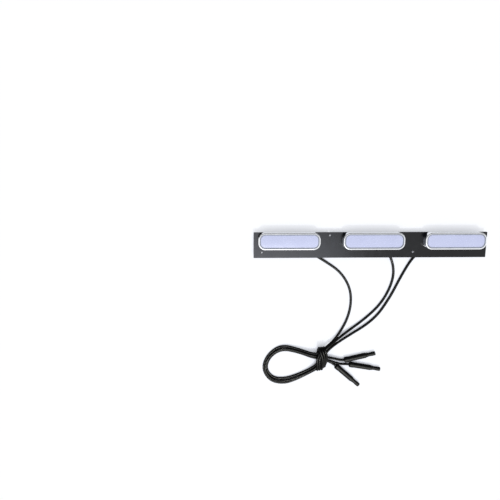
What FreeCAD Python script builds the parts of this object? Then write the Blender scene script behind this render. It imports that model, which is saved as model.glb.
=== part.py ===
import FreeCAD, Part
import math
import os

os.makedirs("parts", exist_ok=True)
Vector = FreeCAD.Vector

# Grille light: three LED lamps on one mounting plate, each with its own lead.
# Millimetres and degrees. The bar lies on its back on the table at Z = 0:
# X runs along the bar, Y up its face and Z out of the lamps.

# Mounting plate
plate_length = 381.0
plate_height = 42.0
plate_thickness = 2.0
plate_corner_radius = 1.0
mount_hole_diameter = 3.4
mount_hole_bevel = 0.5
lower_hole_end_margin = 13.5
lower_hole_edge_margin = 9.0
lower_hole_shift = 3.3
upper_hole_end_margin = 5.0
upper_hole_edge_margin = 5.5

# Lamp bezel
lamp_width = 99.4
lamp_height = 27.5
lamp_corner_radius = 11.0
lamp_overhang = 0.4
lamp_end_margin = 7.25
lamp_shifts = (0.0, 2.65, 1.7)
lamp_proud = 12.5
bezel_wall = 1.8
bezel_rim_width = 2.1
bezel_rim_thickness = 1.8
bezel_edge_radius = 1.2
bezel_opening_bevel = 0.5

# Lens and fluted diffuser
lens_flange_thickness = 1.4
lens_recess = 0.5
lens_crown_radius = 90.0
lens_clearance = 0.2
lens_seal_width = 1.3
lens_seal_height = 0.6
lens_seal_clearance = 0.05
diffuser_thickness = 1.2
diffuser_rim_width = 1.6
diffuser_rim_height = 0.8
flute_height = 0.6
flute_pitch = 4.3
flute_land = 0.5
flute_angle = -50.0

# Reflector, board and light sources
reflector_wall = 1.5
reflector_end_width = 9.05
reflector_side_width = 3.55
board_corner_radius = 7.0
board_thickness = 1.2
board_clearance = 0.3
led_pitch = 7.6
led_edge_margin = 3.8
led_row_spacing = 7.0
led_length = 3.5
led_width = 2.8
led_thickness = 1.0

# Seal and rear housing
gasket_thickness = 0.8
gasket_inset = 0.2
housing_depth = 4.0
housing_end_margin = 4.0
housing_side_margin = 3.05
housing_corner_radius = 9.5
housing_wall = 1.5
housing_edge_radius = 0.8
spigot_proud = 1.0
cutout_clearance = 0.3
wire_hole_diameter = 9.0
collar_diameter = 12.6
collar_height = 1.2

# Lamp screws
screw_diameter = 2.9
screw_hole_clearance = 0.25
screw_thread_clearance = 0.05
screw_cover = 1.3
screw_head_diameter = 5.6
screw_head_height = 2.0
screw_recess_width = 0.9
screw_recess_depth = 1.0

# Outlet cap and strain relief on each lamp's back
cap_diameter = 20.0
cap_floor = 1.5
cap_edge_radius = 0.8
cap_bore_clearance = 0.2
spout_width = 8.0
spout_proud = 1.5
relief_diameter = 5.8
relief_tip_diameter = 5.2
relief_neck_diameter = 5.0
relief_length = 11.0
relief_groove_depth = 0.3
relief_groove_width = 1.0
relief_groove_pitch = 2.6
relief_clearance = 0.05
relief_margin = 0.1
outlet_angles = (-30.0, -30.0, 210.0)

# Leads, which lie on the table and are tied in one knot
lead_diameter = 4.2
lead_clearance = 0.35
table_clearance = 0.05
lead_inset = 1.0
lead_straight = 11.5
lead_rise_near_knot = 2.4
lead_routes = (
    ((-74.0, -27.5), (-45.7, -46.5), (-28.6, -74.0), (-25.6, -103.0), (-32.8, -133.0), (-50.0, -161.0)),
    ((43.5, -38.0), (42.0, -66.0), (26.0, -100.5), (-1.5, -128.5), (-39.6, -156.5)),
    ((71.0, -24.0), (57.2, -52.0), (38.0, -94.0), (13.0, -131.5), (-37.1, -162.0)),
)

# Knot, and the places round it that are measured from its centre
knot_x = -74.2
knot_y = -195.0
knot_width = 20.0
knot_length = 41.0
knot_edge_radius = 4.0
knot_round_radius = 9.0
knot_entry = (12.3, 20.2)
knot_entry_spread = 0.68
knot_entry_height = 8.5
knot_core_start = (2.0, 6.0)
knot_core_end = (-5.0, 5.0)
knot_exit = (-16.8, 5.0)
knot_exit_height = 9.0
knot_exit_spread = 0.8

# Loop of three leads: X, Y, height over the table, spread in lead spacings
loop_route = (
    (-37.8, 12.0, 3.0, 0.68),
    (-67.8, 18.5, 0.0, 0.78),
    (-89.8, 3.0, 0.0, 0.55),
    (-97.8, -20.2, 0.0, 0.55),
    (-85.0, -40.0, 0.0, 0.75),
    (-62.8, -43.5, 0.0, 0.95),
    (-42.8, -37.0, 0.0, 0.80),
    (-20.8, -26.0, 1.0, 0.60),
    (-7.8, -17.0, 3.4, 0.70),
)

# Tails from the knot to the connectors, and each connector's back end and heading
tail_routes = (
    ((5.5, -5.0, 6.5), (11.6, -7.2, 4.2)),
    ((3.5, -1.5, 9.5), (11.9, -4.4, 8.6), (23.0, -8.6, 7.0), (34.0, -12.0, 6.6)),
    ((2.0, 3.5, 8.2), (11.8, 1.0, 6.5), (22.0, -2.6, 5.6)),
)
connector_seats = ((25.3, -15.5, -41.6), (48.3, -13.3, -9.9), (39.4, -5.5, 12.6))
tail_straights = (5.0, 4.5, 4.0)

# Inline connector on each lead
connector_collar_diameter = 9.6
connector_diameter = 9.0
connector_grip_length = 41.0
connector_back_diameter = 7.6
connector_back_taper = 1.0
connector_collar_step = 0.4
connector_collar_length = 6.0
connector_waist_diameter = 8.2
connector_waist_length = 1.0
connector_shoulder_diameter = 7.4
connector_shoulder_length = 4.0
connector_seat_depth = 6.0
connector_neck_diameter = 6.5
connector_neck_length = 6.0
connector_nose_diameter = 7.0
connector_nose_length = 13.0
connector_nose_bevel = 0.8
connector_shank_diameter = 4.6
contact_count = 3
contact_diameter = 1.1
contact_length = 6.0
contact_circle_diameter = 2.8
connector_clearance = 0.05

# How far a cutting tool runs past what it cuts
overshoot = 1.0

# Levels and places worked out from the sizes above
cap_height = relief_diameter + 2 * relief_margin
plate_back_z = cap_height + housing_depth
plate_front_z = plate_back_z + plate_thickness
bezel_foot_z = plate_front_z + gasket_thickness
lamp_front_z = plate_front_z + lamp_proud
lens_flange_top_z = lamp_front_z - bezel_rim_thickness
lens_flange_z = lens_flange_top_z - lens_flange_thickness
diffuser_face_z = lens_flange_z - diffuser_rim_height
diffuser_back_z = diffuser_face_z - diffuser_thickness
board_back_z = plate_front_z + spigot_proud
lamp_y = plate_height / 2 + lamp_overhang - lamp_height / 2
lamp_pitch = (plate_length - lamp_width) / 2 - lamp_end_margin
lamp_places = [place + shift for place, shift in zip((-lamp_pitch, 0.0, lamp_pitch), lamp_shifts)]

opening_width = lamp_width - 2 * bezel_rim_width
opening_height = lamp_height - 2 * bezel_rim_width
opening_radius = lamp_corner_radius - bezel_rim_width
cavity_width = lamp_width - 2 * bezel_wall
cavity_height = lamp_height - 2 * bezel_wall
cavity_radius = lamp_corner_radius - bezel_wall
insert_width = cavity_width - 2 * lens_clearance
insert_height = cavity_height - 2 * lens_clearance
insert_radius = cavity_radius - lens_clearance
board_width = insert_width - 2 * reflector_end_width
board_height = insert_height - 2 * reflector_side_width
cutout_width = board_width + 2 * cutout_clearance
cutout_height = board_height + 2 * cutout_clearance
cutout_radius = board_corner_radius + cutout_clearance
screw_spacing = insert_width - reflector_end_width
screw_hole_diameter = screw_diameter + 2 * screw_hole_clearance
screw_top_z = diffuser_back_z - screw_cover
housing_width = screw_spacing + 2 * housing_end_margin
housing_height = board_height + 2 * housing_side_margin
cap_bore_diameter = collar_diameter + 2 * cap_bore_clearance
spout_reach = cap_diameter / 2 + spout_proud
relief_start = cap_bore_diameter / 2
relief_end = spout_reach + relief_length

lead_spacing = lead_diameter + lead_clearance
table_level = lead_diameter / 2 + table_clearance
outlet_z = cap_height / 2
knot_core_z = table_level + 2 * lead_spacing
knot_height = 2 * knot_core_z
connector_z = connector_collar_diameter / 2 + table_clearance


def rounded_wire(width, height, radius, y, z):
    """Rounded rectangle around (0, y) in the plane at height z."""
    corner = min(radius, 0.49 * width, 0.49 * height)
    x_flat = width / 2 - corner
    y_flat = height / 2 - corner
    diagonal = corner * math.sqrt(0.5)
    edges = []
    for x_side, y_side in ((1, 1), (-1, 1), (-1, -1), (1, -1)):
        x_centre = x_side * x_flat
        y_centre = y + y_side * y_flat
        side_point = Vector(x_centre + x_side * corner, y_centre, z)
        middle = Vector(x_centre + x_side * diagonal, y_centre + y_side * diagonal, z)
        end_point = Vector(x_centre, y_centre + y_side * corner, z)
        if x_side * y_side > 0:
            corner_points = (side_point, middle, end_point)
        else:
            corner_points = (end_point, middle, side_point)
        edges.append(corner_points)
    shapes = []
    for index, (start, middle, end) in enumerate(edges):
        shapes.append(Part.Arc(start, middle, end).toShape())
        following = edges[(index + 1) % len(edges)][0]
        shapes.append(Part.LineSegment(end, following).toShape())
    return Part.Wire(shapes)


def rounded_prism(width, height, radius, y, z_low, z_high):
    face = Part.Face(rounded_wire(width, height, radius, y, z_low))
    return face.extrude(Vector(0, 0, z_high - z_low))


def cylinder(diameter, x, y, z_low, z_high):
    return Part.makeCylinder(diameter / 2, z_high - z_low, Vector(x, y, z_low))


def edges_at_level(shape, z):
    level_edges = []
    for edge in shape.Edges:
        box = edge.BoundBox
        if abs(box.ZMin - z) < 1e-4 and abs(box.ZMax - z) < 1e-4:
            level_edges.append(edge)
    return level_edges


def turned(profile):
    """Solid of revolution about X from (x, radius) points in order along X."""
    points = [Vector(profile[0][0], 0, 0)]
    points.extend(Vector(x, radius, 0) for x, radius in profile)
    points.append(Vector(profile[-1][0], 0, 0))
    points.append(points[0])
    face = Part.Face(Part.makePolygon(points))
    return face.revolve(Vector(0, 0, 0), Vector(1, 0, 0), 360)


def placed(shape, x, y, z, heading):
    """Copy of a shape built along X, turned to a heading and moved to a point."""
    copy = shape.copy()
    copy.rotate(Vector(0, 0, 0), Vector(0, 0, 1), heading)
    copy.translate(Vector(x, y, z))
    return copy


def cord_tube(name, points):
    """Round tube along straight runs joined by tangent arcs."""
    edges = []
    radii = []
    run_start = points[0]
    for before, corner, after in zip(points, points[1:], points[2:]):
        back = before - corner
        onward = after - corner
        turn = math.pi - back.getAngle(onward)
        trim = 0.45 * min(back.Length, onward.Length)
        radius = trim / math.tan(turn / 2)
        back.normalize()
        onward.normalize()
        inward = back + onward
        inward.normalize()
        arc_start = corner + back * trim
        arc_end = corner + onward * trim
        arc_middle = corner + inward * (radius / math.cos(turn / 2) - radius)
        edges.append(Part.LineSegment(run_start, arc_start).toShape())
        edges.append(Part.Arc(arc_start, arc_middle, arc_end).toShape())
        radii.append(radius)
        run_start = arc_end
    edges.append(Part.LineSegment(run_start, points[-1]).toShape())
    path = Part.Wire(edges)
    circle = Part.Circle(points[0], points[1] - points[0], lead_diameter / 2)
    tube = path.makePipeShell([Part.Wire(circle.toShape())], True, False)
    section = math.pi * lead_diameter ** 2 / 4
    share = tube.Volume / (section * path.Length)
    print(name, "radii", [round(radius, 1) for radius in radii], "length", round(path.Length, 1),
          "volume share", round(share, 4))
    return tube


def side_points(route, side):
    """Moves each (x, y) of a route to its left by its own distance, along the mitre."""
    moved = []
    for index, (x, y) in enumerate(route):
        before = route[max(index - 1, 0)]
        after = route[min(index + 1, len(route) - 1)]
        headings = []
        if before != (x, y):
            headings.append(math.atan2(y - before[1], x - before[0]))
        if after != (x, y):
            headings.append(math.atan2(after[1] - y, after[0] - x))
        if len(headings) == 2:
            turn = math.remainder(headings[1] - headings[0], 2 * math.pi)
        else:
            turn = 0.0
        normal = headings[0] + turn / 2 + math.pi / 2
        reach = side[index] / math.cos(turn / 2)
        moved.append((x + reach * math.cos(normal), y + reach * math.sin(normal)))
    return moved


def strand_lift(order, spread):
    """How far the middle strand rides above the outer two, which are closer than its width."""
    if order != 0:
        return 0.0
    return lead_spacing * math.sqrt(max(0.0, 1 - spread ** 2))


# Mounting plate
lower_hole_y = lower_hole_edge_margin - plate_height / 2
upper_hole_y = plate_height / 2 - upper_hole_edge_margin
mount_holes = (
    (lower_hole_end_margin - plate_length / 2, lower_hole_y),
    (-lamp_pitch / 2, upper_hole_y),
    (lamp_pitch / 2 + lower_hole_shift, lower_hole_y),
    (plate_length / 2 - upper_hole_end_margin, upper_hole_y),
)
plate = rounded_prism(plate_length, plate_height, plate_corner_radius, 0, plate_back_z, plate_front_z)
cutout = rounded_prism(cutout_width, cutout_height, cutout_radius, lamp_y,
                       plate_back_z - overshoot, plate_front_z + overshoot)
for lamp_x in lamp_places:
    plate = plate.cut(cutout.translated(Vector(lamp_x, 0, 0)))
    for side in (-1, 1):
        screw_x = lamp_x + side * screw_spacing / 2
        plate = plate.cut(cylinder(screw_hole_diameter, screw_x, lamp_y,
                                   plate_back_z - overshoot, plate_front_z + overshoot))
for hole_x, hole_y in mount_holes:
    plate = plate.cut(cylinder(mount_hole_diameter, hole_x, hole_y,
                               plate_back_z - overshoot, plate_front_z + overshoot))
    bevel_reach = mount_hole_bevel + overshoot
    plate = plate.cut(Part.makeCone(mount_hole_diameter / 2, mount_hole_diameter / 2 + bevel_reach,
                                    bevel_reach, Vector(hole_x, hole_y, plate_front_z - mount_hole_bevel)))
plate.exportStep("parts/mounting_plate.step")

# Bezel: chrome shell with a rounded rim round the lens
bezel = rounded_prism(lamp_width, lamp_height, lamp_corner_radius, lamp_y, bezel_foot_z, lamp_front_z)
bezel = bezel.makeFillet(bezel_edge_radius, edges_at_level(bezel, lamp_front_z))
cavity = rounded_prism(cavity_width, cavity_height, cavity_radius, lamp_y,
                       bezel_foot_z - overshoot, lens_flange_top_z)
bezel = bezel.cut(cavity)
bezel_opening = Part.makeLoft([
    rounded_wire(opening_width - 2 * bezel_opening_bevel, opening_height - 2 * bezel_opening_bevel,
                 opening_radius - bezel_opening_bevel, lamp_y, lens_flange_top_z),
    rounded_wire(opening_width, opening_height, opening_radius, lamp_y, lamp_front_z),
], True, True)
bezel = bezel.cut(bezel_opening)

# Lens: flange held under the rim, crowned face in the opening, with a sealing bead round it
lens_seal_inset = 2 * (bezel_opening_bevel + lens_seal_clearance)
lens_face_inset = lens_seal_inset + 2 * (lens_seal_width + lens_seal_clearance)
lens_crown_z = lamp_front_z - lens_recess
lens = rounded_prism(insert_width, insert_height, insert_radius, lamp_y, lens_flange_z, lens_flange_top_z)
lens_face = rounded_prism(opening_width - lens_face_inset, opening_height - lens_face_inset,
                          opening_radius - lens_face_inset / 2, lamp_y, lens_flange_z, lamp_front_z)
crown = Part.makeCylinder(lens_crown_radius, 2 * lamp_width,
                          Vector(-lamp_width, lamp_y, lens_crown_z - lens_crown_radius), Vector(1, 0, 0))
lens = lens.fuse(lens_face.common(crown)).removeSplitter()
lens_seal_top_z = lens_flange_top_z + lens_seal_height
lens_seal = rounded_prism(opening_width - lens_seal_inset, opening_height - lens_seal_inset,
                          opening_radius - lens_seal_inset / 2, lamp_y, lens_flange_top_z, lens_seal_top_z)
lens_seal_bore = lens_seal_inset + 2 * lens_seal_width
lens_seal = lens_seal.cut(rounded_prism(opening_width - lens_seal_bore, opening_height - lens_seal_bore,
                                        opening_radius - lens_seal_bore / 2, lamp_y,
                                        lens_flange_top_z, lens_seal_top_z))

# Diffuser: plate with diagonal rounded flutes inside a flat rim
flute_zone_width = insert_width - 2 * diffuser_rim_width
flute_zone_height = insert_height - 2 * diffuser_rim_width
flute_zone_radius = insert_radius - diffuser_rim_width
diffuser = rounded_prism(insert_width, insert_height, insert_radius, lamp_y, diffuser_back_z, lens_flange_z)
flute_zone = rounded_prism(flute_zone_width, flute_zone_height, flute_zone_radius, lamp_y,
                           diffuser_face_z, lens_flange_z)
diffuser = diffuser.cut(flute_zone)
flute_chord = flute_pitch - flute_land
flute_radius = (flute_chord ** 2 / 4 + flute_height ** 2) / (2 * flute_height)
flute_direction = Vector(math.cos(math.radians(flute_angle)), math.sin(math.radians(flute_angle)), 0)
flute_step = flute_pitch / abs(math.sin(math.radians(flute_angle)))
flute_reach = flute_zone_width + flute_zone_height
flute_count = int(flute_reach / flute_step / 2)
flutes = []
for index in range(-flute_count, flute_count + 1):
    middle = Vector(index * flute_step, lamp_y, diffuser_face_z + flute_height - flute_radius)
    bar = Part.makeCylinder(flute_radius, 2 * flute_reach,
                            middle - flute_direction * flute_reach, flute_direction)
    flute = bar.common(flute_zone)
    if flute.Volume > 0.01:
        flutes.append(flute)
diffuser = diffuser.fuse(flutes).removeSplitter()

# Reflector: frame that stands on the plate, holds the diffuser up and takes the screws
reflector = rounded_prism(insert_width, insert_height, insert_radius, lamp_y, plate_front_z, diffuser_back_z)
window_width = board_width + 2 * board_clearance
window_height = board_height + 2 * board_clearance
window_radius = board_corner_radius + board_clearance
window_flare = insert_height - 2 * reflector_wall - window_height
reflector = reflector.cut(Part.makeLoft([
    rounded_wire(window_width, window_height, window_radius, lamp_y, plate_front_z),
    rounded_wire(window_width + window_flare / 2, window_height + window_flare,
                 window_radius + window_flare / 4, lamp_y, diffuser_back_z),
], True, True))
screws = []
screw_recess = Part.makeBox(screw_head_diameter, screw_recess_width, screw_recess_depth)
for side in (-1, 1):
    screw_x = side * screw_spacing / 2
    pilot_diameter = screw_diameter + 2 * screw_thread_clearance
    reflector = reflector.cut(cylinder(pilot_diameter, screw_x, lamp_y, plate_front_z - overshoot,
                                       screw_top_z + screw_thread_clearance))
    head_z = cap_height - screw_head_height
    screw = cylinder(screw_head_diameter, screw_x, lamp_y, head_z, cap_height)
    screw = screw.makeFillet(screw_head_height / 3, edges_at_level(screw, head_z))
    screw = screw.fuse(cylinder(screw_diameter, screw_x, lamp_y, cap_height, screw_top_z))
    for recess_angle in (0, 90):
        recess = screw_recess.translated(Vector(-screw_head_diameter / 2, -screw_recess_width / 2, 0))
        recess_reach = screw_head_diameter - 2 * screw_recess_width
        recess = recess.common(cylinder(recess_reach, 0, 0, 0, screw_recess_depth))
        screw = screw.cut(placed(recess, screw_x, lamp_y, head_z, recess_angle))
    screws.append(screw)

# Board and light sources
board = rounded_prism(board_width, board_height, board_corner_radius, lamp_y, board_back_z,
                      board_back_z + board_thickness)
led_columns = int((board_width - 2 * led_edge_margin) / led_pitch)
leds = []
for column in range(led_columns):
    for row_side in (-1, 1):
        led_x = (column - (led_columns - 1) / 2) * led_pitch
        led_y = lamp_y + row_side * led_row_spacing / 2
        corner = Vector(led_x - led_length / 2, led_y - led_width / 2, board_back_z + board_thickness)
        leds.append(Part.makeBox(led_length, led_width, led_thickness, corner))

# Gasket under the bezel's wall
gasket = rounded_prism(lamp_width - 2 * gasket_inset, lamp_height - 2 * gasket_inset,
                       lamp_corner_radius - gasket_inset, lamp_y, plate_front_z, bezel_foot_z)
gasket = gasket.cut(rounded_prism(cavity_width, cavity_height, cavity_radius, lamp_y,
                                  plate_front_z - overshoot, bezel_foot_z + overshoot))

# Rear housing: tray behind the plate, with a spigot through the cut-out that carries the board
housing = rounded_prism(housing_width, housing_height, housing_corner_radius, lamp_y,
                        cap_height, plate_back_z)
housing = housing.makeFillet(housing_edge_radius, edges_at_level(housing, cap_height))
housing = housing.fuse(rounded_prism(board_width, board_height, board_corner_radius, lamp_y,
                                     plate_back_z, board_back_z))
housing = housing.fuse(cylinder(collar_diameter, 0, lamp_y, cap_height - collar_height, cap_height))
housing = housing.cut(rounded_prism(board_width - 2 * housing_wall, board_height - 2 * housing_wall,
                                    board_corner_radius - housing_wall, lamp_y,
                                    cap_height + housing_wall, board_back_z + overshoot))
housing = housing.cut(cylinder(wire_hole_diameter, 0, lamp_y, cap_height - collar_height - overshoot,
                               cap_height + housing_wall + overshoot))
for side in (-1, 1):
    housing = housing.cut(cylinder(screw_hole_diameter, side * screw_spacing / 2, lamp_y,
                                   cap_height - overshoot, plate_back_z + overshoot))
housing = housing.removeSplitter()

# Outlet cap with its spout along X, turned to the lead's heading later
cap = cylinder(cap_diameter, 0, 0, 0, cap_height)
cap = cap.makeFillet(cap_edge_radius, edges_at_level(cap, 0))
cap = cap.fuse(Part.makeBox(spout_reach, spout_width, cap_height, Vector(0, -spout_width / 2, 0)))
cap = cap.cut(cylinder(cap_bore_diameter, 0, 0, cap_floor, cap_height + overshoot))
relief_bore_diameter = relief_neck_diameter + 2 * relief_clearance
cap = cap.cut(Part.makeCylinder(relief_bore_diameter / 2, spout_reach + overshoot,
                                Vector(0, 0, outlet_z), Vector(1, 0, 0)))
cap = cap.removeSplitter()

# Strain relief: neck in the spout, grooved sleeve outside it
relief_profile = [
    (relief_start, relief_neck_diameter / 2),
    (spout_reach, relief_neck_diameter / 2),
    (spout_reach, relief_diameter / 2),
]
groove_x = spout_reach + relief_groove_pitch
while groove_x + relief_groove_width < relief_end - relief_groove_width:
    share = (groove_x - spout_reach) / relief_length
    groove_radius = (relief_diameter + share * (relief_tip_diameter - relief_diameter)) / 2
    relief_profile.append((groove_x, groove_radius))
    relief_profile.append((groove_x, groove_radius - relief_groove_depth))
    relief_profile.append((groove_x + relief_groove_width, groove_radius - relief_groove_depth))
    relief_profile.append((groove_x + relief_groove_width, groove_radius))
    groove_x += relief_groove_pitch
relief_profile.append((relief_end, relief_tip_diameter / 2))
relief = turned(relief_profile)
relief = relief.cut(Part.makeCylinder(lead_diameter / 2 + relief_clearance, relief_end + overshoot,
                                      Vector(0, 0, 0), Vector(1, 0, 0)))

lamp_pieces = {
    "bezel": bezel,
    "lens": lens,
    "lens_seal": lens_seal,
    "diffuser": diffuser,
    "reflector": reflector,
    "led_board": board,
    "leds": Part.makeCompound(leds),
    "gasket": gasket,
    "rear_housing": housing,
    "screws": Part.makeCompound(screws),
}
for number, (lamp_x, outlet_angle) in enumerate(zip(lamp_places, outlet_angles), 1):
    for piece_name, piece in lamp_pieces.items():
        piece.translated(Vector(lamp_x, 0, 0)).exportStep(f"parts/lamp_{number}_{piece_name}.step")
    seated_cap = placed(cap, lamp_x, lamp_y, 0, outlet_angle)
    seated_cap.exportStep(f"parts/lamp_{number}_outlet_cap.step")
    seated_relief = placed(relief, lamp_x, lamp_y, outlet_z, outlet_angle)
    seated_relief.exportStep(f"parts/lamp_{number}_strain_relief.step")

# Knot: closed solid of its outer shape
knot = Part.makeBox(knot_width, knot_length, knot_height - table_clearance,
                    Vector(knot_x - knot_width / 2, knot_y - knot_length / 2, table_clearance))
long_edges = [edge for edge in knot.Edges if abs(edge.BoundBox.XLength - knot_width) < 1e-3]
knot = knot.makeFillet(knot_round_radius, long_edges)
end_edges = [edge for edge in knot.Edges if edge.BoundBox.XLength < 1e-3]
knot = knot.makeFillet(knot_edge_radius, end_edges)
knot.exportStep("parts/knot.step")

# Leads from the lamps to the knot, the loop beyond it, and the tails to the connectors
entry_heading = math.atan2(knot_entry[1] - knot_core_start[1], knot_entry[0] - knot_core_start[0])
loop_centre = [knot_exit] + [(x, y) for x, y, height, spread in loop_route]
loop_heights = [knot_exit_height - table_level] + [height for x, y, height, spread in loop_route]
loop_spreads = [knot_exit_spread] + [spread for x, y, height, spread in loop_route]

grip_shoulder_x = connector_grip_length - connector_shoulder_length
grip_waist_x = connector_back_taper + connector_collar_length
grip = turned([
    (0, connector_back_diameter / 2),
    (connector_back_taper, connector_collar_diameter / 2 - connector_collar_step),
    (connector_back_taper, connector_collar_diameter / 2),
    (grip_waist_x, connector_collar_diameter / 2),
    (grip_waist_x, connector_waist_diameter / 2),
    (grip_waist_x + connector_waist_length, connector_waist_diameter / 2),
    (grip_waist_x + connector_waist_length, connector_diameter / 2),
    (grip_shoulder_x, connector_diameter / 2),
    (grip_shoulder_x + connector_shoulder_length / 2, connector_shoulder_diameter / 2),
    (connector_grip_length, connector_shoulder_diameter / 2),
])
grip = grip.cut(Part.makeCylinder(lead_diameter / 2 + connector_clearance, connector_seat_depth,
                                  Vector(0, 0, 0), Vector(1, 0, 0)))
grip = grip.cut(Part.makeCylinder(connector_shank_diameter / 2 + connector_clearance,
                                  connector_shoulder_length, Vector(grip_shoulder_x, 0, 0), Vector(1, 0, 0)))
connector_length = connector_grip_length + connector_nose_length
barrel = turned([
    (grip_shoulder_x, connector_shank_diameter / 2),
    (connector_grip_length, connector_shank_diameter / 2),
    (connector_grip_length, connector_neck_diameter / 2),
    (connector_grip_length + connector_neck_length, connector_neck_diameter / 2),
    (connector_grip_length + connector_neck_length, connector_nose_diameter / 2),
    (connector_length - connector_nose_bevel, connector_nose_diameter / 2),
    (connector_length, connector_nose_diameter / 2 - connector_nose_bevel / 2),
])
contacts = []
for index in range(contact_count):
    angle = 2 * math.pi * index / contact_count
    foot = Vector(connector_length - contact_length, contact_circle_diameter / 2 * math.cos(angle),
                  contact_circle_diameter / 2 * math.sin(angle))
    contacts.append(Part.makeCylinder(contact_diameter / 2, contact_length, foot, Vector(1, 0, 0)))
    barrel = barrel.cut(Part.makeCylinder(contact_diameter / 2 + connector_clearance, contact_length,
                                          foot, Vector(1, 0, 0)))
contacts = Part.makeCompound(contacts)

for number, lamp_x in enumerate(lamp_places, 1):
    index = number - 1
    order = 1 - index
    angle = math.radians(outlet_angles[index])
    outward = Vector(math.cos(angle), math.sin(angle), 0)
    lamp_back = Vector(lamp_x, lamp_y, outlet_z)
    shift = order * lead_spacing

    lead_points = [
        lamp_back + outward * (relief_start + lead_inset),
        lamp_back + outward * (relief_end + lead_straight),
    ]
    for x, y in lead_routes[index]:
        lead_points.append(Vector(x, y, table_level))
    lead_points[-1].z += lead_rise_near_knot
    entry_shift = shift * knot_entry_spread
    entry_lift = strand_lift(order, knot_entry_spread)
    lead_points.append(Vector(knot_x + knot_entry[0] - entry_shift * math.sin(entry_heading),
                              knot_y + knot_entry[1] + entry_shift * math.cos(entry_heading),
                              knot_entry_height + entry_lift))
    core_x = knot_x + knot_core_start[0] - shift * math.tan(entry_heading / 2)
    lead_points.append(Vector(core_x, knot_y + knot_core_start[1] + shift, knot_core_z))
    lead = cord_tube(f"lead_{number}", lead_points).cut(knot)
    lead.exportStep(f"parts/lead_{number}.step")

    sides = [-order * spread * lead_spacing for spread in loop_spreads]
    loop_points = [Vector(knot_x + knot_core_end[0], knot_y + knot_core_end[1] + shift, knot_core_z)]
    for (x, y), height, spread in zip(side_points(loop_centre, sides), loop_heights, loop_spreads):
        lift = strand_lift(order, spread)
        loop_points.append(Vector(knot_x + x, knot_y + y, table_level + height + lift))
    loop = cord_tube(f"loop_{number}", loop_points).cut(knot)
    loop.exportStep(f"parts/loop_{number}.step")

    seat_x, seat_y, heading = connector_seats[index]
    connector_back = Vector(knot_x + seat_x, knot_y + seat_y, connector_z)
    forward = Vector(math.cos(math.radians(heading)), math.sin(math.radians(heading)), 0)
    tail_points = [Vector(knot_x + x, knot_y + y, z) for x, y, z in tail_routes[index]]
    tail_points.append(connector_back - forward * tail_straights[index])
    tail_points.append(connector_back + forward * connector_seat_depth)
    tail = cord_tube(f"tail_{number}", tail_points).cut(knot)
    tail.exportStep(f"parts/tail_{number}.step")

    for piece_name, piece in (("grip", grip), ("barrel", barrel), ("contacts", contacts)):
        seated = placed(piece, connector_back.x, connector_back.y, connector_back.z, heading)
        seated.exportStep(f"parts/connector_{number}_{piece_name}.step")
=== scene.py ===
import math

import bpy
from mathutils import Matrix, Vector


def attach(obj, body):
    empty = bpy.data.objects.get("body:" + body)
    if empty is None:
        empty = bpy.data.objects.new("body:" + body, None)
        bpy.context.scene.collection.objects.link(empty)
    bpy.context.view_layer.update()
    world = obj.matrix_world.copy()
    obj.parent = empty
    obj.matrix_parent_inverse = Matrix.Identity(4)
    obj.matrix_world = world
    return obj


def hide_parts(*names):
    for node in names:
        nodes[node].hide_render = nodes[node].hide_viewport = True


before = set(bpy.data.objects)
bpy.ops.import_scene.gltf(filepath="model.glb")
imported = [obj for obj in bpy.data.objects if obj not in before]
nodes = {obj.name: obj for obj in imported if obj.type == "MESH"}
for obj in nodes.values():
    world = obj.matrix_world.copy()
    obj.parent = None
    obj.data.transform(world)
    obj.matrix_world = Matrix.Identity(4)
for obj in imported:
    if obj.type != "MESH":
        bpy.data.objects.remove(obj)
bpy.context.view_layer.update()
scene = bpy.context.scene
scene.view_settings.view_transform = "Standard"

# Camera
CAMERA_PLACE = Vector((-0.22143, 0.13683, 0.80598))
CAMERA_FORWARD = Vector((0.03119, -0.17895, -0.98336))
CAMERA_UP = Vector((0.00388, 0.98386, -0.17892))
CAMERA_LENS_MM = 36.0
CAMERA_SENSOR_MM = 36.0
CAMERA_CLIP_START = 0.01

# Leads: the route points of the part's source, in metres, some of them moved to fit the photograph
LAMP_NUMBERS = (1, 2, 3)
LAMP_PLACES = (-0.13355, 0.00265, 0.13525)
LAMP_Y = 0.00765
OUTLET_Z = 0.003
OUTLET_ANGLES = (-30.0, -30.0, 210.0)
LEAD_START = 0.0075
RELIEF_END = 0.0225
LEAD_FIRST_BEND = 0.031
LEAD_DIAMETER = 0.0042
CORD_STEPS_ROUND = 5
CORD_STEPS_ALONG = 10
LEAD_SPACING = 0.00455
TABLE_LEVEL = 0.00215
LEAD_RISE_NEAR_KNOT = 0.0024
LEAD_ROUTES = (
    ((-0.0740, -0.0275), (-0.0457, -0.0465), (-0.0286, -0.074), (-0.0256, -0.103), (-0.0328, -0.133),
     (-0.050, -0.161)),
    ((0.0435, -0.038), (0.0420, -0.066), (0.0260, -0.1005), (-0.0015, -0.1285), (-0.0400, -0.1561)),
    ((0.0830, -0.0165), (0.0726, -0.0245), (0.0572, -0.052), (0.0380, -0.094), (0.0130, -0.1315),
     (-0.0371, -0.162)),
)

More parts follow.
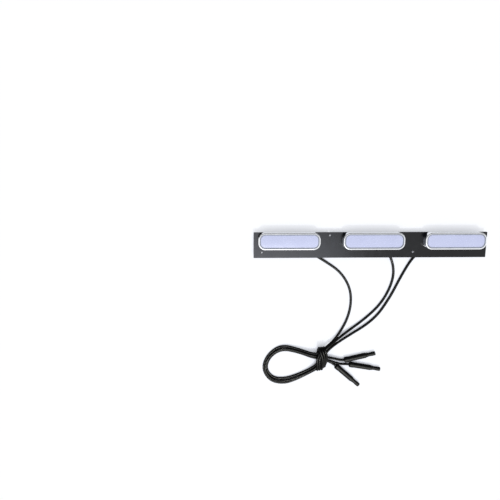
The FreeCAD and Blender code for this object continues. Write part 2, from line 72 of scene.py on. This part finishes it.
# Knot and loop: places are measured from the knot's centre. The exit and each row of the loop give x and y,
# the height over a lead that lies on the table, and the spread in lead spacings
KNOT_X = -0.0742
KNOT_Y = -0.195
KNOT_ENTRY = (0.0123, 0.0202)
KNOT_ENTRY_HEIGHTS = (0.0085, 0.0127, 0.0085)
KNOT_ENTRY_SIDES = (0.56, 0.52, -0.58)
KNOT_CORE_START = (-0.001, 0.0075)
KNOT_CORE_END = (-0.005, 0.005)
KNOT_CORE_Z = TABLE_LEVEL + 2 * LEAD_SPACING
KNOT_EXIT = (-0.0168, 0.005, 0.00685, 0.65)
LOOP_ROUTE = (
    (-0.0378, 0.012, 0.003, 0.60),
    (-0.0678, 0.0185, 0.0, 0.78),
    (-0.0898, 0.003, 0.0, 0.55),
    (-0.0978, -0.0202, 0.0, 0.55),
    (-0.0850, -0.0400, 0.0, 0.75),
    (-0.0628, -0.0435, 0.0, 0.95),
    (-0.0428, -0.037, 0.0, 0.80),
    (-0.0208, -0.026, 0.001, 0.60),
    (-0.0078, -0.017, 0.0034, 0.70),
)

# Turns of the knot round its core: place of the middle lead, spread in lead spacings, and how much
# further up the knot and how much lower the strand on the right lies than the middle one
KNOT_TURNS = (
    (-0.0026, -0.0083, 0.0071, 0.90, 0.0, 0.0),
    (-0.0021, 0.0, 0.0066, 0.92, 0.0, 0.0),
    (-0.0016, 0.0083, 0.0071, 0.95, 0.0, 0.0),
    (-0.0014, 0.0132, 0.0086, 0.95, 0.0, 0.0),
    (-0.0006, 0.0154, 0.01125, 0.90, 0.0, 0.0),
    (0.0003, 0.0136, 0.0142, 0.82, 0.0, 0.0),
    (-0.0020, 0.0083, 0.0156, 0.80, 0.0, 0.0),
    (-0.0050, 0.0010, 0.0160, 0.80, 0.0, 0.0),
    (-0.0045, -0.0086, 0.0156, 0.78, 0.0, 0.0),
    (-0.0040, -0.0155, 0.0140, 0.76, 0.0003, 0.0),
    (-0.0036, -0.0208, 0.0105, 0.78, 0.0007, 0.0),
    (-0.0026, -0.0172, 0.0060, 0.88, 0.0, 0.0),
    (-0.0023, -0.0109, 0.00305, 0.92, 0.0, 0.0),
    (-0.0020, 0.0, 0.00225, 0.92, 0.0, 0.0),
    (-0.0016, 0.0109, 0.00305, 0.92, 0.0, 0.0),
    (-0.0012, 0.0169, 0.0060, 0.88, 0.0, 0.0),
    (-0.0017, 0.0202, 0.0125, 0.86, 0.0007, 0.0),
    (-0.0011, 0.0188, 0.0190, 0.86, 0.0005, 0.0002),
    (0.0014, 0.0112, 0.0200, 0.98, 0.0, 0.0008),
    (0.0038, 0.0010, 0.0187, 0.80, 0.0, 0.0020),
    (0.0027, -0.0080, 0.0170, 0.53, 0.0, 0.0020),
    (0.0023, -0.0140, 0.0135, 0.53, 0.0008, 0.0020),
    (0.0018, -0.0162, 0.0098, 0.70, 0.0015, 0.0),
)

# Tails: tucked up inside the knot, then out of it to the connectors. A seat gives the place of the
# connector's back and the way it points, in degrees
TUCK_ROUTES = (
    ((0.0045, -0.014, 0.0085), (0.0035, -0.009, 0.0075)),
    ((0.0008, -0.014, 0.009), (0.0, -0.007, 0.0092)),
    ((-0.0025, -0.014, 0.009), (-0.003, -0.005, 0.009)),
)
TAIL_ROUTES = (
    ((0.0055, -0.005, 0.0065), (0.0116, -0.0072, 0.0042)),
    ((0.0035, -0.0015, 0.0095), (0.0119, -0.0044, 0.0086), (0.023, -0.0086, 0.007), (0.034, -0.012, 0.0066)),
    ((0.002, 0.0027, 0.0082), (0.0118, 0.0001, 0.0065), (0.022, -0.0022, 0.0056)),
)
CONNECTOR_SEATS = ((0.0253, -0.0155, -41.6), (0.0483, -0.0133, -9.9), (0.0394, -0.0055, 12.6))
CONNECTOR_Z = 0.00485
CONNECTOR_SEAT_DEPTH = 0.006
TAIL_STRAIGHTS = (0.005, 0.0045, 0.0028)

# Materials
COLOUR_NOISE_SPAN = (0.35, 0.65)
ROUGHNESS_NOISE_SPAN = (0.3, 0.7)
MOTTLE_DETAIL = 3.0
GRAIN_DETAIL = 2.0
ROUGHNESS_TO_MOTTLE = 2.5
# Painted sheen: reflection strength for the tops of leads and connectors, standing in for where the overhead
# light falls
SHEEN_TINT = (1.0, 0.99, 0.90, 1.0)
SHEEN_SLOPES = (0.65, 1.0)
SHEEN_LEAST = 0.02
LEAD_SHEEN = 0.22
CONNECTOR_SHEEN = 0.35
PLATE_SPECULAR = 0.30
PLATE_MOTTLE_SCALE = 45.0
PLATE_ROUGHNESS_SCALE = 110.0
PLATE_GRAIN = (900.0, 0.00002, 0.12)
PLATE_BARE_EDGE = ((0.35, 0.0), (0.45, 1.0), (0.90, 1.0), (0.97, 0.0))
LENS_TRANSMISSION = 0.12
LENS_IOR = 1.30
LENS_SPECULAR = 0.2
LENS_COLOURS = ((0.57, 0.57, 0.68), (0.59, 0.59, 0.695))
LENS_ROUGHNESS = (0.22, 0.32)
LENS_MOTTLE_SCALE = 40.0
LENS_ROUGHNESS_SCALE = 90.0
LENS_GRAIN = (500.0, 0.00002, 0.1)

# Light and floor
WHITE = (1.0, 1.0, 1.0, 1.0)
AMBIENT_COLOUR = (0.585, 0.65, 0.80, 1.0)
STUDIO_DARK = (0.05, 0.05, 0.06, 1.0)
STUDIO_SPAN = (0.0, 0.10)
KEY_DIRECTION = Vector((0.03, -0.38, 0.92))
KEY_STRENGTH = 1.1
KEY_ANGLE_DEGREES = 4.0
RIM_STRENGTH = 0.28
RIM_ANGLE_DEGREES = 20.0
PANEL_CENTRE = Vector((-0.18, -0.55, 1.50))
PANEL_AIM = Vector((-0.12, 0.0, 0.0))
PANEL_SIZE = (0.95, 0.80)
PANEL_POWER = 9.2
PANEL_COLOUR = (0.81, 0.86, 1.0)
FLOOR_COLOUR = (0.95, 0.95, 0.96, 1.0)
FLOOR_ROUGHNESS = 0.9
FLOOR_SPECULAR = 0.1
FLOOR_SIZE = 12.0
# The floor's white glow, cut back by ambient occlusion within this distance: a painted shade close to and
# under the part
FLOOR_WHITENESS = 0.93
FLOOR_OPEN_DISTANCE = 0.03
FLOOR_OPEN_SAMPLES = 8


# Helpers for node trees and lights

def new_material(name):
    material = bpy.data.materials.new(name)
    material.use_nodes = True
    tree = material.node_tree
    return material, tree, tree.nodes["Principled BSDF"]


def noise(tree, scale, detail=MOTTLE_DETAIL):
    coordinates = tree.nodes.new("ShaderNodeTexCoord")
    texture = tree.nodes.new("ShaderNodeTexNoise")
    texture.inputs["Scale"].default_value = scale
    texture.inputs["Detail"].default_value = detail
    tree.links.new(coordinates.outputs["Object"], texture.inputs["Vector"])
    return texture


def upward_slope(tree):
    coordinates = tree.nodes.new("ShaderNodeTexCoord")
    split = tree.nodes.new("ShaderNodeSeparateXYZ")
    tree.links.new(coordinates.outputs["Normal"], split.inputs["Vector"])
    return split.outputs["Z"]


def vary_colour(tree, shader, texture, low, high):
    ramp = tree.nodes.new("ShaderNodeValToRGB")
    for element, position, colour in zip(ramp.color_ramp.elements, COLOUR_NOISE_SPAN, (low, high)):
        element.position = position
        element.color = (*colour, 1.0)
    tree.links.new(texture.outputs["Fac"], ramp.inputs["Fac"])
    tree.links.new(ramp.outputs["Color"], shader.inputs["Base Color"])


def vary_roughness(tree, shader, texture, low, high):
    span = tree.nodes.new("ShaderNodeMapRange")
    span.inputs["From Min"].default_value = ROUGHNESS_NOISE_SPAN[0]
    span.inputs["From Max"].default_value = ROUGHNESS_NOISE_SPAN[1]
    span.inputs["To Min"].default_value = low
    span.inputs["To Max"].default_value = high
    tree.links.new(texture.outputs["Fac"], span.inputs["Value"])
    tree.links.new(span.outputs["Result"], shader.inputs["Roughness"])


def bump(tree, shader, grain):
    scale, height, strength = grain
    texture = noise(tree, scale, GRAIN_DETAIL)
    node = tree.nodes.new("ShaderNodeBump")
    node.inputs["Distance"].default_value = height
    node.inputs["Strength"].default_value = strength
    tree.links.new(texture.outputs["Fac"], node.inputs["Height"])
    tree.links.new(node.outputs["Normal"], shader.inputs["Normal"])


def grained(name, low, high, roughness, grain, metallic=0.0, mottle_scale=60.0, specular=0.5):
    material, tree, shader = new_material(name)
    shader.inputs["Metallic"].default_value = metallic
    shader.inputs["Specular IOR Level"].default_value = specular
    vary_colour(tree, shader, noise(tree, mottle_scale), low, high)
    vary_roughness(tree, shader, noise(tree, mottle_scale * ROUGHNESS_TO_MOTTLE), *roughness)
    bump(tree, shader, grain)
    return material


# Painted sheen: the reflection is strong on upward-facing surfaces and weak on their sides, standing in for
# the highlight of the overhead light
def painted_upward_sheen(material, level):
    tree = material.node_tree
    shader = tree.nodes["Principled BSDF"]
    shader.inputs["Specular Tint"].default_value = SHEEN_TINT
    span = tree.nodes.new("ShaderNodeMapRange")
    span.interpolation_type = "SMOOTHSTEP"
    span.inputs["From Min"].default_value = SHEEN_SLOPES[0]
    span.inputs["From Max"].default_value = SHEEN_SLOPES[1]
    span.inputs["To Min"].default_value = SHEEN_LEAST
    span.inputs["To Max"].default_value = level
    tree.links.new(upward_slope(tree), span.inputs["Value"])
    tree.links.new(span.outputs["Result"], shader.inputs["Specular IOR Level"])


def painted_metal(name, low, high, metal, roughness):
    material, tree, shader = new_material(name)
    shader.inputs["Specular IOR Level"].default_value = PLATE_SPECULAR
    bare = tree.nodes.new("ShaderNodeValToRGB")
    elements = bare.color_ramp.elements
    for index, (position, level) in enumerate(PLATE_BARE_EDGE):
        element = elements[index] if index < len(elements) else elements.new(position)
        element.position = position
        element.color = (level, level, level, 1.0)
    tree.links.new(upward_slope(tree), bare.inputs["Fac"])
    vary_colour(tree, shader, noise(tree, PLATE_MOTTLE_SCALE), low, high)
    paint = shader.inputs["Base Color"].links[0].from_socket
    mix = tree.nodes.new("ShaderNodeMix")
    mix.data_type = "RGBA"
    mix.inputs["B"].default_value = (*metal, 1.0)
    tree.links.new(bare.outputs["Color"], mix.inputs["Factor"])
    tree.links.new(paint, mix.inputs["A"])
    tree.links.new(mix.outputs["Result"], shader.inputs["Base Color"])
    tree.links.new(bare.outputs["Color"], shader.inputs["Metallic"])
    vary_roughness(tree, shader, noise(tree, PLATE_ROUGHNESS_SCALE), *roughness)
    bump(tree, shader, PLATE_GRAIN)
    return material


def seen_directly(tree, *ray_names):
    light_path = tree.nodes.new("ShaderNodeLightPath")
    level = light_path.outputs["Is Camera Ray"]
    for ray_name in ray_names:
        either = tree.nodes.new("ShaderNodeMath")
        either.operation = "MAXIMUM"
        tree.links.new(level, either.inputs[0])
        tree.links.new(light_path.outputs[ray_name], either.inputs[1])
        level = either.outputs["Value"]
    return level


def sun(name, strength, angle_degrees):
    light = bpy.data.lights.new(name, "SUN")
    light.energy = strength
    light.angle = math.radians(angle_degrees)
    sun_object = bpy.data.objects.new(name, light)
    sun_object.rotation_euler = KEY_DIRECTION.to_track_quat("Z", "Y").to_euler()
    scene.collection.objects.link(sun_object)
    return sun_object


# Materials: two limits of the colour, two of the roughness, and a grain given as noise scale, height in
# metres and strength
plate_paint = painted_metal("plate_paint", (0.0038, 0.0040, 0.0044), (0.0056, 0.0058, 0.0064),
                            metal=(0.14, 0.145, 0.15), roughness=(0.17, 0.24))
bezel_chrome = grained("bezel_chrome", (0.86, 0.88, 0.92), (0.90, 0.92, 0.95), (0.09, 0.15),
                       grain=(260.0, 0.00002, 0.05), metallic=1.0)
diffuser_white = grained("diffuser_white", (0.66, 0.69, 0.89), (0.70, 0.73, 0.92), (0.5, 0.65),
                         grain=(1500.0, 0.00002, 0.1), specular=0.15)
reflector_white = grained("reflector_white", (0.82, 0.83, 0.85), (0.88, 0.88, 0.90), (0.3, 0.45),
                          grain=(1200.0, 0.00002, 0.15))
board_white = grained("board_white", (0.80, 0.81, 0.80), (0.86, 0.86, 0.85), (0.35, 0.5),
                      grain=(1400.0, 0.00002, 0.2))
led_yellow = grained("led_yellow", (0.72, 0.58, 0.12), (0.80, 0.66, 0.18), (0.3, 0.45),
                     grain=(2500.0, 0.00002, 0.15), mottle_scale=400.0)
seal_rubber = grained("seal_rubber", (0.010, 0.010, 0.011), (0.016, 0.016, 0.017), (0.6, 0.8),
                      grain=(1800.0, 0.00005, 0.3))
lens_seal_grey = grained("lens_seal_grey", (0.26, 0.27, 0.29), (0.32, 0.33, 0.35), (0.6, 0.8),
                         grain=(1800.0, 0.00005, 0.3))
housing_black = grained("housing_black", (0.010, 0.010, 0.011), (0.016, 0.016, 0.017), (0.42, 0.55),
                        grain=(1500.0, 0.00006, 0.35))
screw_steel = grained("screw_steel", (0.52, 0.53, 0.54), (0.62, 0.63, 0.64), (0.22, 0.38),
                      grain=(1200.0, 0.00003, 0.2), metallic=1.0, mottle_scale=220.0)
relief_rubber = grained("relief_rubber", (0.009, 0.009, 0.010), (0.015, 0.015, 0.016), (0.5, 0.65),
                        grain=(2000.0, 0.00004, 0.3), mottle_scale=120.0)
lead_sheath = grained("lead_sheath", (0.0024, 0.0023, 0.0021), (0.0046, 0.0045, 0.0041), (0.24, 0.34),
                      grain=(1100.0, 0.00006, 0.25), mottle_scale=90.0)
# Painted sheen on the tops of the leads and the connectors
painted_upward_sheen(lead_sheath, LEAD_SHEEN)
connector_black = grained("connector_black", (0.0028, 0.0028, 0.0024), (0.0052, 0.0052, 0.0045),
                          (0.34, 0.46), grain=(1600.0, 0.00005, 0.3), mottle_scale=120.0)
painted_upward_sheen(connector_black, CONNECTOR_SHEEN)
contact_brass = grained("contact_brass", (0.70, 0.50, 0.20), (0.78, 0.57, 0.25), (0.2, 0.34),
                        grain=(1500.0, 0.00002, 0.2), metallic=1.0, mottle_scale=300.0)

lens_clear, tree, shader = new_material("lens_clear")
shader.inputs["Transmission Weight"].default_value = LENS_TRANSMISSION
shader.inputs["IOR"].default_value = LENS_IOR
shader.inputs["Specular IOR Level"].default_value = LENS_SPECULAR
vary_colour(tree, shader, noise(tree, LENS_MOTTLE_SCALE), *LENS_COLOURS)
vary_roughness(tree, shader, noise(tree, LENS_ROUGHNESS_SCALE), *LENS_ROUGHNESS)
bump(tree, shader, LENS_GRAIN)

LAMP_MATERIALS = {
    "bezel": bezel_chrome,
    "lens": lens_clear,
    "lens_seal": lens_seal_grey,
    "diffuser": diffuser_white,
    "reflector": reflector_white,
    "led_board": board_white,
    "leds": led_yellow,
    "gasket": seal_rubber,
    "rear_housing": housing_black,
    "screws": screw_steel,
    "outlet_cap": housing_black,
    "strain_relief": relief_rubber,
}
CONNECTOR_MATERIALS = {"grip": connector_black, "barrel": connector_black, "contacts": contact_brass}


def finish_node(name, material):
    mesh_object = nodes[name]
    if not mesh_object.material_slots:
        mesh_object.data.materials.append(material)
    for material_slot in mesh_object.material_slots:
        material_slot.material = material


finish_node("mounting_plate", plate_paint)
for number in LAMP_NUMBERS:
    for piece_name, material in LAMP_MATERIALS.items():
        finish_node(f"lamp_{number}_{piece_name}", material)
    for piece_name, material in CONNECTOR_MATERIALS.items():
        finish_node(f"connector_{number}_{piece_name}", material)


# Leads: one smooth line each, from the lamp through the knot and the loop to the connector

def side_points(route, sides):
    moved = []
    for index, (point, side) in enumerate(zip(route, sides)):
        before = route[max(index - 1, 0)]
        after = route[min(index + 1, len(route) - 1)]
        arriving = Vector(point) - Vector(before) if index > 0 else Vector(after) - Vector(point)
        leaving = Vector(after) - Vector(point) if index < len(route) - 1 else arriving
        arriving.normalize()
        leaving.normalize()
        mitre = (arriving + leaving).normalized()
        reach = side / mitre.dot(leaving)
        moved.append((point[0] - mitre.y * reach, point[1] + mitre.x * reach))
    return moved


def strand_lift(order, spread):
    # The middle strand rides up on the other two where they lie closer than side by side
    if order != 0:
        return 0.0
    return LEAD_SPACING * math.sqrt(max(0.0, 1 - spread ** 2))


def lead_route(index):
    order = 1 - index
    shift = order * LEAD_SPACING
    angle = math.radians(OUTLET_ANGLES[index])
    outward = Vector((math.cos(angle), math.sin(angle), 0.0))
    lamp_back = Vector((LAMP_PLACES[index], LAMP_Y, OUTLET_Z))
    points = [lamp_back + outward * LEAD_START, lamp_back + outward * LEAD_FIRST_BEND]
    for x, y in LEAD_ROUTES[index]:
        points.append(Vector((x, y, TABLE_LEVEL)))
    points[-1].z += LEAD_RISE_NEAR_KNOT

    knot = Vector((KNOT_X, KNOT_Y, 0.0))
    heading = math.atan2(KNOT_ENTRY[1] - KNOT_CORE_START[1], KNOT_ENTRY[0] - KNOT_CORE_START[0])
    core_x = KNOT_CORE_START[0] - shift * math.tan(heading / 2)
    entry_side = KNOT_ENTRY_SIDES[index] * LEAD_SPACING
    points.append(knot + Vector((KNOT_ENTRY[0] - entry_side * math.sin(heading),
                                 KNOT_ENTRY[1] + entry_side * math.cos(heading),
                                 KNOT_ENTRY_HEIGHTS[index])))
    points.append(knot + Vector((core_x, KNOT_CORE_START[1] + shift, KNOT_CORE_Z)))
    points.append(knot + Vector((KNOT_CORE_END[0], KNOT_CORE_END[1] + shift, KNOT_CORE_Z)))

    loop = (KNOT_EXIT,) + LOOP_ROUTE
    sides = [-order * spread * LEAD_SPACING for *_, spread in loop]
    places = side_points([(x, y) for x, y, *_ in loop], sides)
    for (x, y), (*_, height, spread) in zip(places, loop):
        points.append(knot + Vector((x, y, TABLE_LEVEL + height + strand_lift(order, spread))))

    for x, y, z, spread, slant, drop in KNOT_TURNS:
        points.append(knot + Vector((x + shift * spread, y + order * slant, z - order * drop)))

    for x, y, z in TUCK_ROUTES[index] + TAIL_ROUTES[index]:
        points.append(knot + Vector((x, y, z)))
    seat_x, seat_y, seat_degrees = CONNECTOR_SEATS[index]
    seat_angle = math.radians(seat_degrees)
    forward = Vector((math.cos(seat_angle), math.sin(seat_angle), 0.0))
    connector_back = knot + Vector((seat_x, seat_y, CONNECTOR_Z))
    points.append(connector_back - forward * TAIL_STRAIGHTS[index])
    points.append(connector_back + forward * CONNECTOR_SEAT_DEPTH)
    return points, lamp_back + outward * RELIEF_END


def cord_curve(name, points):
    curve = bpy.data.curves.new(name, "CURVE")
    curve.dimensions = "3D"
    curve.bevel_depth = LEAD_DIAMETER / 2
    curve.bevel_resolution = CORD_STEPS_ROUND
    curve.resolution_u = CORD_STEPS_ALONG
    curve.use_fill_caps = True
    spline = curve.splines.new("NURBS")
    spline.points.add(len(points) - 1)
    for spline_point, point in zip(spline.points, points):
        spline_point.co = (*point, 1.0)
    spline.order_u = 3
    spline.use_endpoint_u = True
    cord = bpy.data.objects.new(name, curve)
    scene.collection.objects.link(cord)
    return cord


for number in LAMP_NUMBERS:
    route, exit_point = lead_route(number - 1)
    cord = cord_curve(f"cord_{number}", route)
    cord.data.materials.append(lead_sheath)
    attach(cord, "root")
    replaced = [f"lead_{number}", f"loop_{number}", f"tail_{number}"]
    if number == 2:
        replaced.append("knot")
    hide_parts(*replaced)


# Floor, light and camera

floor_mesh = bpy.data.meshes.new("floor")
half_floor = FLOOR_SIZE / 2
floor_mesh.from_pydata([(-half_floor, -half_floor, 0.0), (half_floor, -half_floor, 0.0),
                        (half_floor, half_floor, 0.0), (-half_floor, half_floor, 0.0)], [], [(0, 1, 2, 3)])
floor = bpy.data.objects.new("floor", floor_mesh)
scene.collection.objects.link(floor)

# The floor glows white where it is open; ambient occlusion cuts the glow back close to and under the part, a
# painted shade there, and the floor keeps its shadow close to the part
floor_material, tree, shader = new_material("floor_white")
shader.inputs["Base Color"].default_value = FLOOR_COLOUR
shader.inputs["Roughness"].default_value = FLOOR_ROUGHNESS
shader.inputs["Specular IOR Level"].default_value = FLOOR_SPECULAR
white = tree.nodes.new("ShaderNodeEmission")
openness = tree.nodes.new("ShaderNodeAmbientOcclusion")
openness.samples = FLOOR_OPEN_SAMPLES
openness.inputs["Distance"].default_value = FLOOR_OPEN_DISTANCE
whiteness = tree.nodes.new("ShaderNodeMapRange")
whiteness.inputs["To Max"].default_value = FLOOR_WHITENESS
share = tree.nodes.new("ShaderNodeMath")
share.operation = "MULTIPLY"
choice = tree.nodes.new("ShaderNodeMixShader")
tree.links.new(openness.outputs["AO"], whiteness.inputs["Value"])
tree.links.new(whiteness.outputs["Result"], share.inputs[1])
tree.links.new(seen_directly(tree, "Is Glossy Ray", "Is Transmission Ray"), share.inputs[0])
tree.links.new(share.outputs["Value"], choice.inputs["Fac"])
tree.links.new(shader.outputs["BSDF"], choice.inputs[1])
tree.links.new(white.outputs["Emission"], choice.inputs[2])
tree.links.new(choice.outputs["Shader"], tree.nodes["Material Output"].inputs["Surface"])
floor_mesh.materials.append(floor_material)

# Light from all round, a studio that is dark behind the part in reflections, and white seen directly
world = bpy.data.worlds.new("studio")
world.use_nodes = True
scene.world = world
tree = world.node_tree
background = tree.nodes["Background"]
background.inputs["Color"].default_value = AMBIENT_COLOUR
reflected = tree.nodes.new("ShaderNodeBackground")
direction = tree.nodes.new("ShaderNodeTexCoord")
split = tree.nodes.new("ShaderNodeSeparateXYZ")
sky = tree.nodes.new("ShaderNodeValToRGB")
for element, position, colour in zip(sky.color_ramp.elements, STUDIO_SPAN, (WHITE, STUDIO_DARK)):
    element.position = position
    element.color = colour
tree.links.new(direction.outputs["Generated"], split.inputs["Vector"])
tree.links.new(split.outputs["Y"], sky.inputs["Fac"])
tree.links.new(sky.outputs["Color"], reflected.inputs["Color"])
white = tree.nodes.new("ShaderNodeBackground")
white.inputs["Color"].default_value = WHITE
light_path = tree.nodes.new("ShaderNodeLightPath")
lit = tree.nodes.new("ShaderNodeMixShader")
choice = tree.nodes.new("ShaderNodeMixShader")
tree.links.new(light_path.outputs["Is Glossy Ray"], lit.inputs["Fac"])
tree.links.new(background.outputs["Background"], lit.inputs[1])
tree.links.new(reflected.outputs["Background"], lit.inputs[2])
tree.links.new(seen_directly(tree, "Is Transmission Ray"), choice.inputs["Fac"])
tree.links.new(lit.outputs["Shader"], choice.inputs[1])
tree.links.new(white.outputs["Background"], choice.inputs[2])
tree.links.new(choice.outputs["Shader"], tree.nodes["World Output"].inputs["Surface"])

key_object = sun("key", KEY_STRENGTH, KEY_ANGLE_DEGREES)
rim_object = sun("rim", RIM_STRENGTH, RIM_ANGLE_DEGREES)

panel = bpy.data.lights.new("panel", "AREA")
panel.shape = "RECTANGLE"
panel.size, panel.size_y = PANEL_SIZE
panel.energy = PANEL_POWER
panel.color = PANEL_COLOUR
panel_object = bpy.data.objects.new("panel", panel)
panel_object.location = PANEL_CENTRE
panel_object.rotation_euler = (PANEL_CENTRE - PANEL_AIM).to_track_quat("Z", "Y").to_euler()
panel_object.visible_camera = False
scene.collection.objects.link(panel_object)

# The chrome rings take the softer rim light in place of the key and the panel
rings_lit = bpy.data.collections.new("rings_lit")
rings_shaded = bpy.data.collections.new("rings_shaded")
for number in LAMP_NUMBERS:
    rings_lit.objects.link(nodes[f"lamp_{number}_bezel"])
    rings_shaded.objects.link(nodes[f"lamp_{number}_bezel"])
for shaded in rings_shaded.collection_objects:
    shaded.light_linking.link_state = "EXCLUDE"
rim_object.light_linking.receiver_collection = rings_lit
key_object.light_linking.receiver_collection = rings_shaded
panel_object.light_linking.receiver_collection = rings_shaded

camera_data = bpy.data.cameras.new("camera")
camera_data.lens = CAMERA_LENS_MM
camera_data.sensor_width = CAMERA_SENSOR_MM
camera_data.clip_start = CAMERA_CLIP_START
camera = bpy.data.objects.new("camera", camera_data)
camera_right = CAMERA_FORWARD.cross(CAMERA_UP).normalized()
camera_up = camera_right.cross(CAMERA_FORWARD).normalized()
turned = Matrix((camera_right, camera_up, -CAMERA_FORWARD.normalized())).transposed()
camera.matrix_world = Matrix.Translation(CAMERA_PLACE) @ turned.to_4x4()
scene.collection.objects.link(camera)
scene.camera = camera
